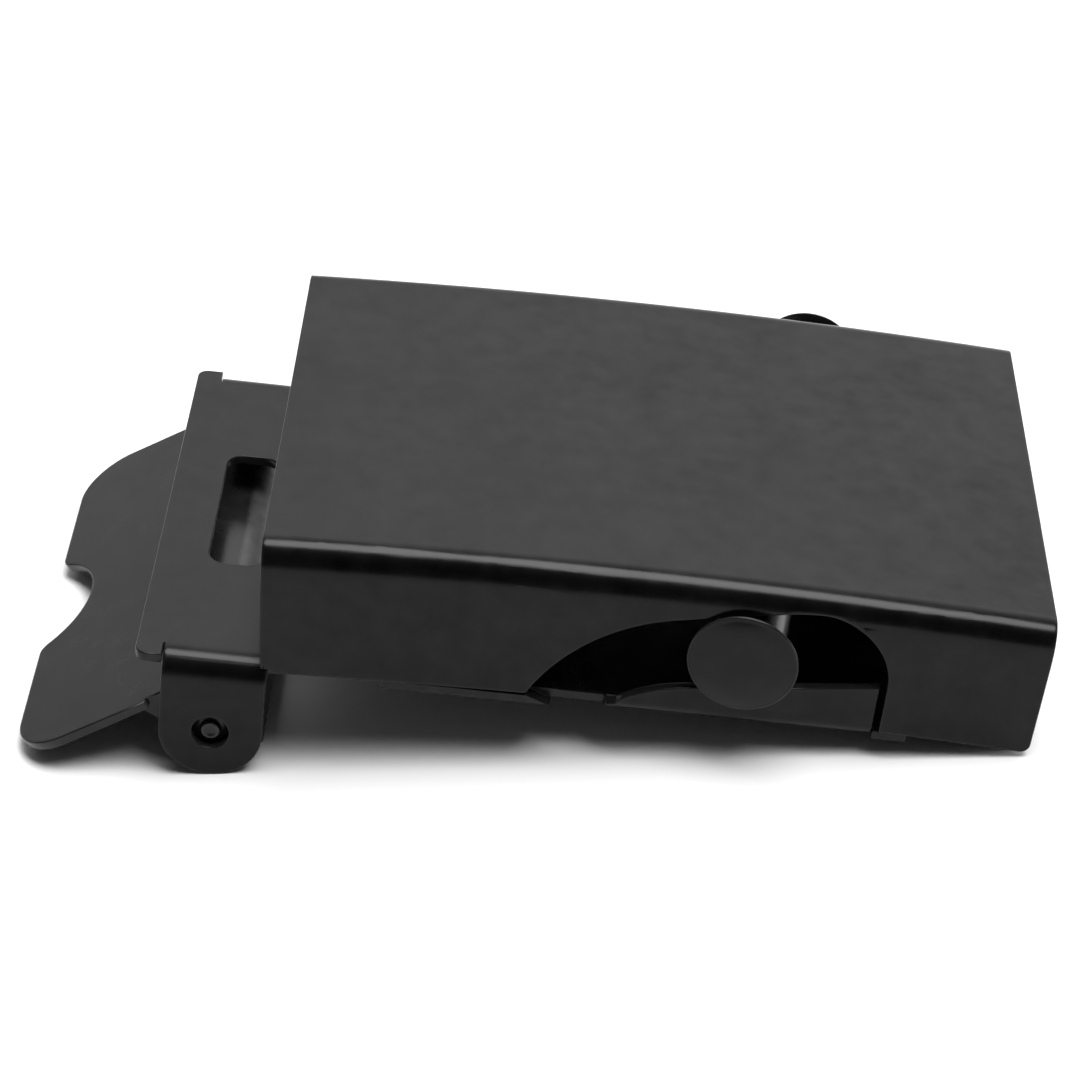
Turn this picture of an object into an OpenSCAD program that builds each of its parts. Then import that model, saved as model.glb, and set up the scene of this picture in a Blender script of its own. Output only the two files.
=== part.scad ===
// Web belt buckle: an arched box cover on a folded back frame, a loose roller on two
// sloping tracks, and a cam clamp lever on a cross pin. It lies open on a flat surface.
// The pieces are drawn with the back plate level: x runs from the left end of the cover,
// y from its middle to the far side, and z down from the crown of the arch.
// The module lying() then tips the whole buckle the way it rests on the surface.

/* [Sheet metal] */
// thickness of the cover, the back frame and the lever's flap
sheet_t = 0.7; // [0.65:0.05:0.8]
// outside radius of every fold
fold_r = 1.05; // [1.0:0.05:1.2]

/* [Cover] */
// length of the cover between its open ends
cover_l = 53; // [52.8:0.1:53.6]
// width of the cover over its side flanges
cover_w = 38; // [36:0.5:42]
// depth of the side flanges, from the top face to the lower edge
cover_h = 10.05; // [10:0.05:10.1]
// rise of the arch between its ends and its middle
cover_rise = 0.7; // [0.6:0.05:0.8]
// rounding of the flanges' lower corners
flange_corner_r = 0.7; // [0.3:0.1:1.5]

/* [Side openings] */
// x of the straight right side of each opening
opening_right_x = 42.45; // [42.35:0.05:43]
// distance from the crown of the arch down to the top of each opening
opening_top = 1.6; // [1.55:0.05:1.7]
// radius of the opening's upper right corner
opening_corner_r = 5.1; // [5:0.05:5.2]
// radius of the short arc that leads from the straight top into that corner
opening_crown_r = 18; // [17:0.2:19]
// x where the straight sloping top meets that arc
opening_crown_x = 34.4; // [34.2:0.1:34.6]
// radius of the long curve on the left of the opening
opening_sweep_r = 13.4; // [13.3:0.05:13.6]
// x of the centre of that curve
opening_sweep_x = 30.45; // [30.3:0.05:30.6]
// x where that curve meets the straight sloping top
opening_sweep_end_x = 27.8; // [27.4:0.1:28.2]

/* [Back plate] */
// distance from the crown of the arch down to the plate's top face
plate_drop = 10.45; // [10.4:0.05:10.5]
// x of the plate's left edge
plate_left_x = -8; // [-8.5:0.1:-7.5]
// x of the plate's right edge
plate_right_x = 52.2; // [51.8:0.1:52.4]
// seam left between the plate and the flanges, where their ends straddle it
plate_seam = 0.08; // [0.05:0.01:0.1]
// setback of the plate's left end from the outer faces of the ears
plate_left_setback = 0.25; // [0.1:0.05:0.5]
// rounding of the left corners
plate_left_r = 0.8; // [0.3:0.1:1.5]
// rounding of the right corners
plate_right_r = 1.0; // [0.3:0.1:1.5]
// x of the left side of the oblong slot
slot_x = -4.4; // [-4.6:0.1:-4]
// width of the slot, along the buckle
slot_w = 3.9; // [3.5:0.1:4.2]
// length of the slot, across the buckle
slot_l = 14.2; // [12:0.2:18]
// rounding of the slot's corners
slot_r = 1.3; // [0.5:0.1:1.7]

/* [Tracks] */
// slope of the track walls' top edges
track_slope = 7; // [6:0.5:8]
// x of a point on the sloping edge
track_ref_x = 32.2; // [32:0.1:32.4]
// distance from the crown of the arch down to the edge at that point
track_ref_drop = 8.15; // [8.05:0.05:8.25]
// x of the walls' right end, which leaves a seam to the opening's side
track_right_x = 42; // [41.7:0.1:42.1]
// x where the straight edge turns down into the rounded nose
track_nose_x = 29; // [28.8:0.1:29.2]
// radius of the rounded nose
track_nose_r = 10.5; // [10:0.1:11]
// radius of the pocket between the nose and the tip of the opening
pocket_r = 6; // [5.8:0.1:6.2]
// x of the centre of the pocket
pocket_x = 21.4; // [21.3:0.1:21.5]
// depth of the pocket below the plate's top face, which cuts through the plate's edge
pocket_depth = 0.8; // [0.78:0.02:0.9]

/* [Ears and pin] */
// x of the cross pin
pin_x = -2.55; // [-2.7:0.05:-2.5]
// distance from the plate's underside down to the pin
pin_drop = 5.1; // [5:0.05:5.3]
// radius of the pin
pin_r = 1.25; // [1:0.05:1.3]
// radius of the small boss left inside the staked ring at each end of the pin
pin_boss_r = 0.65; // [0.4:0.05:0.8]
// depth of that ring
pin_ring_depth = 0.45; // [0.2:0.05:0.6]
// radial clearance of the pin in the ears, where it is fixed
pin_seat_gap = 0.02; // [0.01:0.01:0.05]
// radial clearance of the lever on the pin, where it turns
pin_run_gap = 0.05; // [0.02:0.01:0.1]
// radius of the ears' rounded ends, also half their width
ear_r = 3.55; // [3.5:0.05:3.8]

/* [Clamp lever] */
// slope of the open flap, down to the left of the plate
lever_slope = 33.8; // [30:0.2:35]
// radius of the barrel that turns on the pin
barrel_r = 2.6; // [2.4:0.1:2.7]
// radius of the toothed jaw on the barrel
jaw_r = 3.75; // [3.5:0.05:3.8]
// width of the jaw
jaw_w = 2.4; // [2.2:0.1:2.5]
// number of grooves between the jaw's teeth
jaw_grooves = 3; // [2:1:3]
// angle from one groove to the next
jaw_groove_angle = 12; // [10:1:12]
// depth of those grooves
jaw_groove_depth = 0.35; // [0.2:0.05:0.4]
// distance from the pin's centre to the flap's top face
flap_offset = 3.85; // [3.7:0.05:3.9]
// distance from the pin to where the flap's flat top starts
flap_root = 0.6; // [0.5:0.1:1]
// length of the flap from the pin to its tip
flap_l = 13.8; // [13:0.1:14.4]
// distance from the pin to the step where the flap widens past the ears
flap_step = 3.05; // [3.05:0.05:3.5]
// width of the flap past the ears
flap_w = 37; // [36.2:0.1:37.6]
// rounding of the flap's two tip corners
flap_corner_r = 4; // [2:0.1:5]
// radius of the scalloped notch in the flap's tip
notch_r = 6; // [5.5:0.1:6.5]
// depth of that notch
notch_depth = 3.4; // [2.5:0.1:4]
// rounding of the two corners beside the notch
notch_corner_r = 1.15; // [0.4:0.05:1.4]
// side clearance between the lever's barrel and the ears
lever_side_gap = 0.2; // [0.1:0.05:0.3]

/* [Roller] */
// radius of the bar
bar_r = 2.65; // [2.5:0.05:2.7]
// clearance between the bar and the track walls
bar_gap = 0.1; // [0.05:0.05:0.15]
// length of the roller over its knobs
roller_l = 42.5; // [42.4:0.05:42.8]
// x of the middle of the roller
roller_x = 35.3; // [35.1:0.1:35.4]
// sideways shift of the roller, to the far side
roller_shift = 0.35; // [0.3:0.05:0.4]
// angle at which the loose roller lies across the box
roller_skew = 7.9; // [7:0.1:8]
// radius of the knobs
knob_r = 3.75; // [3.5:0.05:3.9]
// thickness of the knobs
knob_t = 0.95; // [0.9:0.05:0.95]
// rounding of the knobs' outer rim
knob_edge_r = 0.35; // [0.1:0.05:0.5]
// radius of the spigot on each end of the bar that the knob is pressed on
spigot_r = 1.4; // [1:0.1:1.8]
// length of that spigot
spigot_l = 0.6; // [0.4:0.05:0.65]

/* [Hidden] */
$fn = 96;
// overlap that lets a cutting shape pass a face
eps = 0.5;
half_w = cover_w / 2;
// the arch is a ring segment about a far axis below the buckle
arch_r = (cover_l * cover_l / 4 + cover_rise * cover_rise) / (2 * cover_rise);
arch_half_angle = asin(cover_l / 2 / arch_r);
plate_top_z = -plate_drop;
plate_bottom_z = plate_top_z - sheet_t;
// the arch brings the flanges' lower edges below the plate's top face near both ends
straddle_depth = plate_drop - cover_h - plate_seam;
straddle_half_l = cover_l / 2 * sqrt(straddle_depth / cover_rise);
straddled_half_w = half_w - sheet_t - plate_seam;
left_half_w = half_w - plate_left_setback;
pin_z = plate_bottom_z - pin_drop;
// flat strip that a folded section shares with the plate
fold_overlap = 3;
ear_left_x = pin_x - ear_r;
ear_right_x = pin_x + ear_r;
// a heel cut in the flanges' left ends clears the folds of the ears
heel_l = ear_right_x + plate_seam;
// opening: the sweep starts where it leaves the flange, and the straight top runs into the crown arc
opening_floor_z = -cover_h - 2;
opening_corner_x = opening_right_x - opening_corner_r;
opening_corner_z = -opening_top - opening_corner_r;
opening_crown_z = -opening_top - opening_crown_r;
opening_crown_y = opening_crown_z + sqrt(pow(opening_crown_r, 2) - pow(opening_corner_x - opening_crown_x, 2));
opening_slope = (opening_corner_x - opening_crown_x) / (opening_crown_y - opening_crown_z);
opening_sweep_end_z = opening_crown_y - opening_slope * (opening_crown_x - opening_sweep_end_x);
opening_sweep_z = opening_sweep_end_z
    - sqrt(pow(opening_sweep_r, 2) - pow(opening_sweep_end_x - opening_sweep_x, 2));
// tracks: the nose arc is tangent to the sloping edge at track_nose_x
track_nose_centre_x = track_nose_x + track_nose_r * sin(track_slope);
track_nose_centre_z = track_edge_z(track_nose_x) - track_nose_r * cos(track_slope);
pocket_z = plate_top_z - pocket_depth + pocket_r;
// where the pocket's curve runs into the nose's curve, on the line between their centres
nose_to_pocket = norm([pocket_x - track_nose_centre_x, pocket_z - track_nose_centre_z]);
nose_share = track_nose_r / nose_to_pocket;
track_left_x = track_nose_centre_x + (pocket_x - track_nose_centre_x) * nose_share;
fold_start_x = track_left_x - 1;
// lever
lever_half_w = half_w - sheet_t - lever_side_gap;
notch_centre = flap_l - notch_depth + notch_r;
// roller: it lies on both sloping edges, so its skew also lifts its right end
roller_z = track_edge_z(roller_x) + (bar_r + bar_gap) / cos(track_slope);
roller_tilt = atan(tan(track_slope) * sin(roller_skew));
bar_l = roller_l - 2 * knob_t;
knob_socket_gap = 0.02;
// rest: the buckle lies on the round ends of its ears and on the plate's lower right edge
rest_run = plate_right_x - pin_x;
rest_span = norm([rest_run, pin_drop]);
rest_pitch = atan(pin_drop / rest_run) + asin(ear_r / rest_span);
rest_lift = ear_r - pin_z * cos(rest_pitch) + pin_x * sin(rest_pitch);
// the lying buckle's ends: the flap's tip on the left, the cover's top edge on the right
tip_x = pin_x - flap_offset * sin(lever_slope) - flap_l * cos(lever_slope);
tip_z = pin_z + flap_offset * cos(lever_slope) - flap_l * sin(lever_slope);
left_end = tip_x * cos(rest_pitch) + tip_z * sin(rest_pitch);
right_end = cover_l * cos(rest_pitch) - cover_rise * sin(rest_pitch);
rest_shift = -(left_end + right_end) / 2;

// height of the sloping track edge at x
function track_edge_z(x) = -track_ref_drop + (x - track_ref_x) * tan(track_slope);

// Tips the level buckle onto the surface, with the origin below its middle
module lying() {
    translate([rest_shift, 0, rest_lift]) rotate([0, rest_pitch, 0]) children();
}

// Extrudes an outline drawn in x and z from y0 to y1
module side_prism(y0, y1) {
    translate([0, y1, 0]) rotate([90, 0, 0]) linear_extrude(y1 - y0) children();
}

// Extrudes a section drawn in y and z from x0 to x1
module long_prism(x0, x1) {
    translate([x0, 0, 0]) rotate([90, 0, 90]) linear_extrude(x1 - x0) children();
}

// Draws its children and their mirror image on the other side of the buckle
module both_sides() {
    children();
    mirror([0, 1, 0]) children();
}

// A round rod along y through the point x, z
module cross_rod(x, z, r, length) {
    translate([x, length / 2, z]) rotate([90, 0, 0]) cylinder(h = length, r = r);
}

// A block with its top at y = 0 and its two upper corners rounded
module round_top_block(half, height, r) {
    translate([-half, -height]) square([2 * half, height - r]);
    translate([r - half, -height]) square([2 * (half - r), height]);
    for (side = [-1, 1]) translate([side * (half - r), -r]) circle(r);
}

// Section of sheet folded down at its edge: outer face at x = 0, top face at y = 0
module fold_section(drop) {
    translate([-fold_overlap, -sheet_t]) square([fold_overlap - fold_r, sheet_t]);
    translate([-sheet_t, -drop]) square([sheet_t, drop - fold_r]);
    translate([-fold_r, -fold_r]) intersection() {
        difference() {
            circle(fold_r);
            circle(fold_r - sheet_t);
        }
        square(fold_r);
    }
}

// The opening in a flange, in x and z: sweep, straight sloping top, crown arc, corner and side
module opening_outline() {
    intersection() {
        translate([opening_sweep_x, opening_sweep_z]) circle(opening_sweep_r);
        translate([opening_sweep_x - opening_sweep_r, opening_floor_z])
            square([opening_sweep_end_x - opening_sweep_x + opening_sweep_r, cover_h]);
    }
    polygon([
        [opening_sweep_end_x, opening_floor_z],
        [opening_sweep_end_x, opening_sweep_end_z],
        [opening_crown_x, opening_crown_y],
        [opening_crown_x, opening_floor_z]
    ]);
    intersection() {
        translate([opening_corner_x, opening_crown_z]) circle(opening_crown_r);
        translate([opening_crown_x, opening_floor_z])
            square([opening_corner_x - opening_crown_x, cover_h + 2]);
    }
    translate([opening_corner_x, opening_corner_z]) intersection() {
        circle(opening_corner_r);
        square(opening_corner_r);
    }
    translate([opening_corner_x, opening_floor_z])
        square([opening_corner_r, opening_corner_z - opening_floor_z]);
}

// The sharp tip that rounding removes from a flange's lower right corner, at the right end of the arch
module flange_corner_tip() {
    translate([0, cover_h - flange_corner_r]) difference() {
        translate([-flange_corner_r, 0]) square([flange_corner_r + eps, flange_corner_r + eps]);
        translate([-flange_corner_r, 0]) circle(flange_corner_r);
    }
}

module cover() {
    color([0.27, 0.27, 0.28]) difference() {
        translate([cover_l / 2, 0, -arch_r]) rotate([0, -90, 90])
            rotate_extrude(angle = 2 * arch_half_angle, start = -arch_half_angle)
                translate([arch_r, 0]) rotate(-90) difference() {
                    round_top_block(half_w, cover_h, fold_r);
                    translate([0, -sheet_t])
                        round_top_block(half_w - sheet_t, cover_h, fold_r - sheet_t);
                }
        side_prism(-half_w - eps, half_w + eps) {
            opening_outline();
            translate([-eps, -cover_h - cover_rise - eps])
                square([heel_l + eps, cover_h + cover_rise + eps - plate_drop + plate_seam]);
        }
        for (turn = [0, 1])
            translate([turn * cover_l, 0, -cover_rise])
                mirror([1 - turn, 0, 0])
                    side_prism(-half_w - eps, half_w + eps)
                        rotate(-arch_half_angle) mirror([0, 1]) flange_corner_tip();
    }
}

// Plan of the back plate, cut back where its edges are folded into ears and track walls
// and where the flanges straddle it
module plate_plan() {
    difference() {
        union() {
            translate([ear_left_x, -half_w]) square([plate_right_x - ear_left_x - plate_right_r, cover_w]);
            translate([plate_left_x + plate_left_r, -left_half_w])
                square([ear_left_x - plate_left_x, 2 * left_half_w]);
            translate([plate_left_x, plate_left_r - left_half_w])
                square([plate_left_r, 2 * (left_half_w - plate_left_r)]);
            translate([plate_right_x - plate_right_r, plate_right_r - half_w])
                square([plate_right_r, cover_w - 2 * plate_right_r]);
            for (side = [-1, 1]) {
                translate([plate_left_x + plate_left_r, side * (left_half_w - plate_left_r)])
                    circle(plate_left_r);
                translate([plate_right_x - plate_right_r, side * (half_w - plate_right_r)])
                    circle(plate_right_r);
            }
        }
        for (side = [0, 1]) mirror([0, side]) {
            translate([ear_left_x, half_w - fold_r]) square([2 * ear_r, fold_r + eps]);
            translate([fold_start_x, half_w - fold_r])
                square([track_right_x - fold_start_x, fold_r + eps]);
            translate([ear_right_x, straddled_half_w])
                square([cover_l / 2 - straddle_half_l - ear_right_x, fold_r]);
            translate([cover_l / 2 + straddle_half_l, straddled_half_w]) square([cover_l / 2, fold_r]);
        }
        slot_outline();
    }
}

// The oblong slot, in plan
module slot_outline() {
    translate([slot_x + slot_r, -slot_l / 2]) square([slot_w - 2 * slot_r, slot_l]);
    translate([slot_x, slot_r - slot_l / 2]) square([slot_w, slot_l - 2 * slot_r]);
    for (x = [slot_x + slot_r, slot_x + slot_w - slot_r], side = [-1, 1])
        translate([x, side * (slot_l / 2 - slot_r)]) circle(slot_r);
}

// Side view of a track wall: the sloping edge, its rounded nose and the foot beside the pocket
module track_outline() {
    polygon([
        [track_nose_x, plate_bottom_z],
        [track_nose_x, track_edge_z(track_nose_x)],
        [track_right_x, track_edge_z(track_right_x)],
        [track_right_x, plate_bottom_z]
    ]);
    intersection() {
        translate([track_nose_centre_x, track_nose_centre_z]) circle(track_nose_r);
        translate([track_left_x, plate_bottom_z])
            square([track_nose_x - track_left_x, cover_h]);
    }
    translate([fold_start_x, plate_bottom_z]) square([track_left_x - fold_start_x, fold_r + sheet_t]);
}

module back_frame() {
    color([0.25, 0.25, 0.26]) difference() {
        union() {
            translate([0, 0, plate_bottom_z]) linear_extrude(sheet_t) plate_plan();
            both_sides() {
                intersection() {
                    long_prism(ear_left_x, ear_right_x)
                        translate([half_w, plate_top_z]) fold_section(sheet_t + pin_drop + ear_r);
                    side_prism(half_w - fold_overlap, half_w) {
                        translate([ear_left_x, pin_z]) square([2 * ear_r, plate_top_z - pin_z]);
                        translate([pin_x, pin_z]) circle(ear_r);
                    }
                }
                intersection() {
                    long_prism(fold_start_x, track_right_x)
                        translate([half_w, plate_bottom_z]) mirror([0, 1]) fold_section(cover_h / 2);
                    side_prism(half_w - fold_overlap, half_w) track_outline();
                }
            }
        }
        cross_rod(pin_x, pin_z, pin_r + pin_seat_gap, cover_w + eps);
        both_sides() translate([0, half_w + fold_r, 0])
            cross_rod(pocket_x, pocket_z, pocket_r, 4 * fold_r);
    }
}

// Pin flush with the ears, with the ring that staking leaves in each end
module clamp_pin() {
    color([0.2, 0.2, 0.21]) {
        cross_rod(pin_x, pin_z, pin_r, cover_w - 2 * pin_ring_depth);
        cross_rod(pin_x, pin_z, pin_boss_r, cover_w);
    }
}

// Section of the lever about the pin: x runs towards the flap's tip, y to its top face
module lever_section() {
    difference() {
        union() {
            circle(barrel_r);
            intersection() {
                circle(jaw_r);
                translate([-jaw_w, -jaw_r]) square([jaw_w, jaw_r]);
            }
            polygon([
                [-barrel_r * sin(30), barrel_r * cos(30)],
                [flap_root, flap_offset],
                [flap_step + sheet_t, flap_offset],
                [flap_step + sheet_t, flap_offset - sheet_t],
                [barrel_r * cos(20), barrel_r * sin(20)]
            ]);
        }
        circle(pin_r + pin_run_gap);
        for (i = [0 : jaw_grooves - 1])
            rotate(-jaw_groove_angle * (i + 2 / 3)) translate([0, -jaw_r])
                rotate(45) square(jaw_groove_depth * sqrt(2), center = true);
    }
}

// Plan of the flap: x from the pin to the tip, y across the buckle
module flap_plan() {
    half = flap_w / 2;
    corner_y = sqrt(pow(notch_r + notch_corner_r, 2) - pow(notch_centre - flap_l + notch_corner_r, 2));
    difference() {
        union() {
            translate([flap_root, -lever_half_w]) square([flap_step - flap_root, 2 * lever_half_w]);
            translate([flap_step, -half]) square([flap_l - flap_corner_r - flap_step, flap_w]);
            translate([flap_step, flap_corner_r - half])
                square([flap_l - flap_step, flap_w - 2 * flap_corner_r]);
            for (side = [-1, 1])
                translate([flap_l - flap_corner_r, side * (half - flap_corner_r)]) circle(flap_corner_r);
        }
        translate([notch_centre, 0]) circle(notch_r);
        for (side = [0, 1]) mirror([0, side]) difference() {
            polygon([[flap_l - notch_corner_r, corner_y], [notch_centre, corner_y], [notch_centre, 0]]);
            translate([flap_l - notch_corner_r, corner_y]) circle(notch_corner_r);
        }
    }
}

module clamp_lever() {
    color([0.28, 0.28, 0.29])
        translate([pin_x, 0, pin_z]) rotate([0, -lever_slope, 0]) mirror([1, 0, 0]) {
            side_prism(-lever_half_w, lever_half_w) lever_section();
            translate([0, 0, flap_offset - sheet_t]) linear_extrude(sheet_t) flap_plan();
        }
}

// Places a piece drawn along y about the middle of the roller
module on_roller() {
    translate([roller_x, roller_shift, roller_z]) rotate([roller_tilt, 0, -roller_skew]) children();
}

// Round bar with a short spigot at each end
module roller_bar() {
    color([0.2, 0.2, 0.21]) on_roller() {
        cross_rod(0, 0, bar_r, bar_l - 2 * knob_socket_gap);
        cross_rod(0, 0, spigot_r, bar_l + 2 * spigot_l);
    }
}

// Disc knob with a rounded outer rim and a blind socket for the spigot; its outer face is at the bottom
module knob() {
    rotate_extrude() difference() {
        union() {
            square([knob_r - knob_edge_r, knob_t]);
            translate([0, knob_edge_r]) square([knob_r, knob_t - knob_edge_r]);
            translate([knob_r - knob_edge_r, knob_edge_r]) circle(knob_edge_r);
        }
        translate([0, knob_t - spigot_l - knob_socket_gap])
            square([spigot_r + knob_socket_gap, spigot_l + eps]);
        translate([-knob_r, -eps]) square([knob_r, knob_t + 2 * eps]);
    }
}

module roller_knob_near() {
    color([0.22, 0.22, 0.23]) on_roller()
        translate([0, -roller_l / 2, 0]) rotate([-90, 0, 0]) knob();
}

module roller_knob_far() {
    color([0.22, 0.22, 0.23]) on_roller()
        translate([0, roller_l / 2, 0]) rotate([90, 0, 0]) knob();
}

lying() cover();
lying() back_frame();
lying() clamp_pin();
lying() clamp_lever();
lying() roller_bar();
lying() roller_knob_near();
lying() roller_knob_far();
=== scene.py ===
# %% [markdown]
# # A web belt buckle, lying open
#
# The buckle is bent from thin black steel: an arched box cover, a back frame with two ears
# and two sloping tracks, a loose roller that rides on the tracks, and a clamp lever that
# turns on a pin between the ears. The exact solids come in as the frame, and each of them
# gets a dressed piece here, with rounded rims and a satin coat.
#
# Sheet metal is made here the way a shop makes it. A flat blank is stamped, its rims are
# rounded, and then every point of it is carried round the folds by a formula. A box that
# is carved from the outside would need a modifier for every rim. A bent blank gets all of
# them at once, and its wall has the same thickness everywhere.

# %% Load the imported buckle
import math

import bmesh
import bpy
import numpy as np
from mathutils import Matrix, Vector
from mathutils.geometry import tessellate_polygon


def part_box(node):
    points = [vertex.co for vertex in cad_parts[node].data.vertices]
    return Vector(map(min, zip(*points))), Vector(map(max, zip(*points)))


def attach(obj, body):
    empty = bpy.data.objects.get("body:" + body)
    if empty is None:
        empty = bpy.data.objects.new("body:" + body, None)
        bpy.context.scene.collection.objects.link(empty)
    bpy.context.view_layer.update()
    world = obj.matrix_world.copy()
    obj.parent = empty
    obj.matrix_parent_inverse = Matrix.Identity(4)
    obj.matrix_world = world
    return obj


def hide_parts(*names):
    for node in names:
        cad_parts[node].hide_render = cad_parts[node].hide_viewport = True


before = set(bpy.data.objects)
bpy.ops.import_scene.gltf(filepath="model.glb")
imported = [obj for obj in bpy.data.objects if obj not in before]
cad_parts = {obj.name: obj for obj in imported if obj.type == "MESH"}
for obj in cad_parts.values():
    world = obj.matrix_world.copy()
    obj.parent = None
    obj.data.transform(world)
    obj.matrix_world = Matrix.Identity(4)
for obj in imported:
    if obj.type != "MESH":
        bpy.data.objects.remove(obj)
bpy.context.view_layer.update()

print("solids:", sorted(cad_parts))

# %% [markdown]
# ## The numbers of the buckle
#
# All lengths are millimetres, measured on the buckle held level: x from the left end of
# the cover, y from its middle plane to the far side, z up from the crown of the arch, so
# that everything below the crown has a negative z. They are the sizes of the solids, so
# that every piece sits where its solid sits. Where a piece is dressed differently, as the
# folds and the knobs are, its own cell says so.

# %% Sizes
sheet_t, fold_r = 0.7, 1.05
half_w = 19.0
cover_l, cover_h, cover_rise, cover_corner_r = 53.0, 10.05, 0.7, 0.7
plate_top, plate_left_x, plate_right_x = -10.45, -8.0, 52.2
plate_seam, plate_left_setback, plate_left_r, plate_right_r = 0.08, 0.25, 0.8, 1.0
slot_x, slot_w, slot_l, slot_r = -4.4, 3.9, 14.2, 1.3
pin_x, pin_drop, pin_r, ear_r = -2.55, 5.1, 1.25, 3.55
plate_bottom = plate_top - sheet_t
pin_z = plate_bottom - pin_drop
arch_r = (cover_l ** 2 / 4 + cover_rise ** 2) / (2 * cover_rise)
arch_half = math.asin(cover_l / 2 / arch_r)
print("the arch is a strip of a cylinder of radius", round(arch_r, 1), "mm")

# %% [markdown]
# ## How the buckle lies
#
# Open, it stands on the round ends of its ears and on the lower right edge of the plate.
# The line that touches both gives the tilt, and with the tilt come the lift and the shift
# that put the origin on the floor below the middle of the buckle.

# %% From the level buckle to the floor
rest_run = plate_right_x - pin_x
pitch = math.atan(pin_drop / rest_run) + math.asin(ear_r / math.hypot(rest_run, pin_drop))
lift = ear_r - pin_z * math.cos(pitch) + pin_x * math.sin(pitch)
lever_slope, flap_offset, flap_l = 33.8, 3.85, 13.8
slope = math.radians(lever_slope)
tip_x = pin_x - flap_offset * math.sin(slope) - flap_l * math.cos(slope)
tip_z = pin_z + flap_offset * math.cos(slope) - flap_l * math.sin(slope)
left_end = tip_x * math.cos(pitch) + tip_z * math.sin(pitch)
right_end = cover_l * math.cos(pitch) - cover_rise * math.sin(pitch)
shift = -(left_end + right_end) / 2


def lie_down(p):
    """Level millimetres to metres on the floor: x' = x cos a + z sin a + shift,
    z' = -x sin a + z cos a + lift, with a the tilt."""
    x, y, z = np.asarray(p, float).T
    c, s = math.cos(pitch), math.sin(pitch)
    return np.stack([x * c + z * s + shift, y, -x * s + z * c + lift], 1) * 0.001


print("tilt", round(math.degrees(pitch), 3), "degrees, lift", round(lift, 3), "mm")

# %% [markdown]
# ## Outlines
#
# A blank starts as a drawing: runs of points for its straight stretches and arcs. The
# outer outline runs anticlockwise and a hole clockwise, so that the metal is always on
# the left, and one formula can step inwards from both.

# %% Arcs and closed outlines
same_point = 1e-3


def arc(cx, cy, r, start, end, steps):
    """Points (cx + r cos a, cy + r sin a), with a running evenly from start to end degrees."""
    a = np.radians(np.linspace(start, end, steps + 1))
    return np.stack([cx + r * np.cos(a), cy + r * np.sin(a)], 1)


def outline(*runs):
    """One closed outline from runs of points, without points that repeat their neighbour."""
    p = np.concatenate([np.atleast_2d(np.asarray(r, float)) for r in runs])
    return p[np.linalg.norm(p - np.roll(p, 1, 0), axis=1) > same_point]


def stepped_in(loop, distance):
    """The outline moved towards the metal. A corner moves along m = (n1 + n2) / (1 + n1.n2),
    with n1 and n2 the left normals of the two edges that meet there."""
    edge = np.roll(loop, -1, 0) - loop
    edge /= np.linalg.norm(edge, axis=1, keepdims=True)
    n2 = np.stack([-edge[:, 1], edge[:, 0]], 1)
    n1 = np.roll(n2, 1, 0)
    return loop + distance * (n1 + n2) / (1 + (n1 * n2).sum(1, keepdims=True))


# %% [markdown]
# ## Stamping a blank
#
# Round each outline runs a stack of rings: a shoulder on the top face, a quarter circle
# over the rim, the cut edge, and the same again below. The shoulder keeps the big flat
# faces flat in the shading. Each point also carries a number, edge, that is 1 on the rim
# and 0 on the faces: the coat's wear reads it later.

# %% Rings, caps and the stamped blank
rim_steps, first_wear = 3, 0.35


def rim_rings(thick, rim, shoulder):
    """How far in, how high and how worn each ring is. Over the rim the distance in is
    rim (1 - sin a) and the height thick/2 - rim (1 - cos a), with a from 0 to 90 degrees,
    and the wear grows with sin a from its first value to 1."""
    a = np.linspace(0, math.pi / 2, rim_steps + 1)
    into = np.concatenate([[shoulder], rim * (1 - np.sin(a))])
    height = np.concatenate([[thick / 2], thick / 2 - rim * (1 - np.cos(a))])
    worn = np.concatenate([[0], first_wear + (1 - first_wear) * np.sin(a)])
    return (np.concatenate([into, into[::-1]]), np.concatenate([height, -height[::-1]]),
            np.concatenate([worn, worn[::-1]]))


def stamp(loops, thick, rim=0.1, shoulder=0.28):
    """A closed blank as a mesh, its middle surface at height 0. Each outline gives a stack
    of rings with walls between them, and the top and the bottom rings are filled across."""
    into, height, worn = rim_rings(thick, rim, shoulder)
    points, edge, faces, start = [], [], [], 0
    rings = len(into)
    cap_top, cap_bottom = [], []
    for loop in loops:
        n = len(loop)
        grid = np.stack([stepped_in(loop, d) for d in into])
        z = np.broadcast_to(height[:, None, None], (rings, n, 1))
        points.append(np.concatenate([grid, z], 2).reshape(-1, 3))
        edge.append(np.repeat(worn, n))
        i = np.arange(n)
        j = (i + 1) % n
        k = np.arange(rings - 1)[:, None] * n + start
        faces += np.stack([k + i, k + n + i, k + n + j, k + j], -1).reshape(-1, 4).tolist()
        cap_top.append(start + i)
        cap_bottom.append(start + (rings - 1) * n + i)
        start += rings * n
    points, edge = np.concatenate(points), np.concatenate(edge)
    top, bottom = np.concatenate(cap_top), np.concatenate(cap_bottom)
    fill = np.array(tessellate_polygon([[Vector(p) for p in points[c]] for c in cap_top]))
    corner = points[top][fill][:, :, :2]
    turn = np.cross(corner[:, 1] - corner[:, 0], corner[:, 2] - corner[:, 0])
    fill[turn < 0] = fill[turn < 0][:, ::-1]
    faces += top[fill].tolist() + bottom[fill][:, ::-1].tolist()
    return new_mesh(points, faces, edge)


def new_mesh(points, faces, edge):
    """A mesh from whole arrays, with the edge number on each point."""
    mesh = bpy.data.meshes.new("blank")
    mesh.from_pydata(points, [], faces)
    mesh.attributes.new("edge", "FLOAT", "POINT").data.foreach_set("value", edge)
    return mesh


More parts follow.
